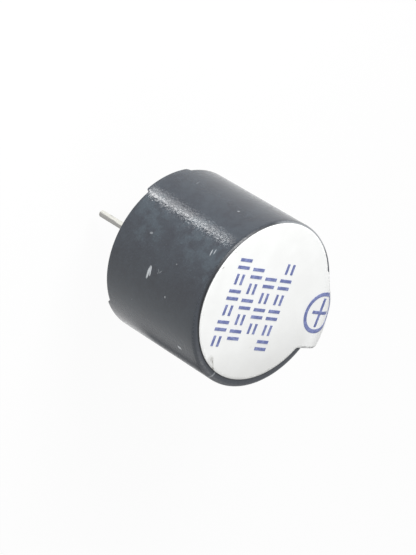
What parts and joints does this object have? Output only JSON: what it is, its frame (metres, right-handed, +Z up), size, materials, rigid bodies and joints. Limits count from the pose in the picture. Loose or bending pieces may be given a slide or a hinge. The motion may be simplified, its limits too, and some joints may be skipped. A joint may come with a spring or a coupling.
{
  "type": "buzzer",
  "caption": "Round black can buzzer with a self-driven magnetic sounder inside, a white peel-off label over its sound hole and straight wire leads underneath.",
  "frame": {"origin": "centre of the can in the plane of its three standoffs, midway between the two leads, where the buzzer seats on a circuit board", "axes": "+Z up the can's axis to the sound hole and label; +X from the axis to the positive lead; the leads hang below z = 0"},
  "size_m": [0.0135, 0.012, 0.0145],
  "materials": {
    "can_plastic": "fine moulded texture, dark grey",
    "label_film": "white self-adhesive film, satin",
    "label_ink": "blue printing ink",
    "spring_steel": "thin rolled sheet",
    "plated_iron": "turned or stamped iron, plated",
    "frame_plastic": "moulded, black",
    "ferrite": "sintered ferrite, dark grey",
    "copper_wire": "enamelled copper wire",
    "board_laminate": "paper and resin laminate",
    "copper_foil": "etched copper foil",
    "chip_plastic": "moulded epoxy",
    "chip_ceramic": "glazed resistor body",
    "tinned_metal": "tinned wire, dull",
    "solder": "solder, satin",
    "potting_resin": "black casting resin"
  },
  "bodies": {
    "root": {"housing": "can_plastic", "seal_label": "label_film", "row_print": "label_ink", "polarity_print": "label_ink", "diaphragm": "spring_steel", "mass_disc": "plated_iron", "inner_frame": "frame_plastic", "ring_magnet": "ferrite", "yoke_plate": "plated_iron", "pole_core": "plated_iron", "coil": "copper_wire", "coil_wires": "copper_wire", "circuit_board": "board_laminate", "copper_tracks": "copper_foil", "transistor_body": "chip_plastic", "transistor_legs": "tinned_metal", "resistor_body": "chip_ceramic", "resistor_caps": "tinned_metal", "lead_solder": "solder", "chip_solder": "solder", "positive_lead": "tinned_metal", "negative_lead": "tinned_metal", "potting_seal": "potting_resin"}
  },
  "joints": []
}
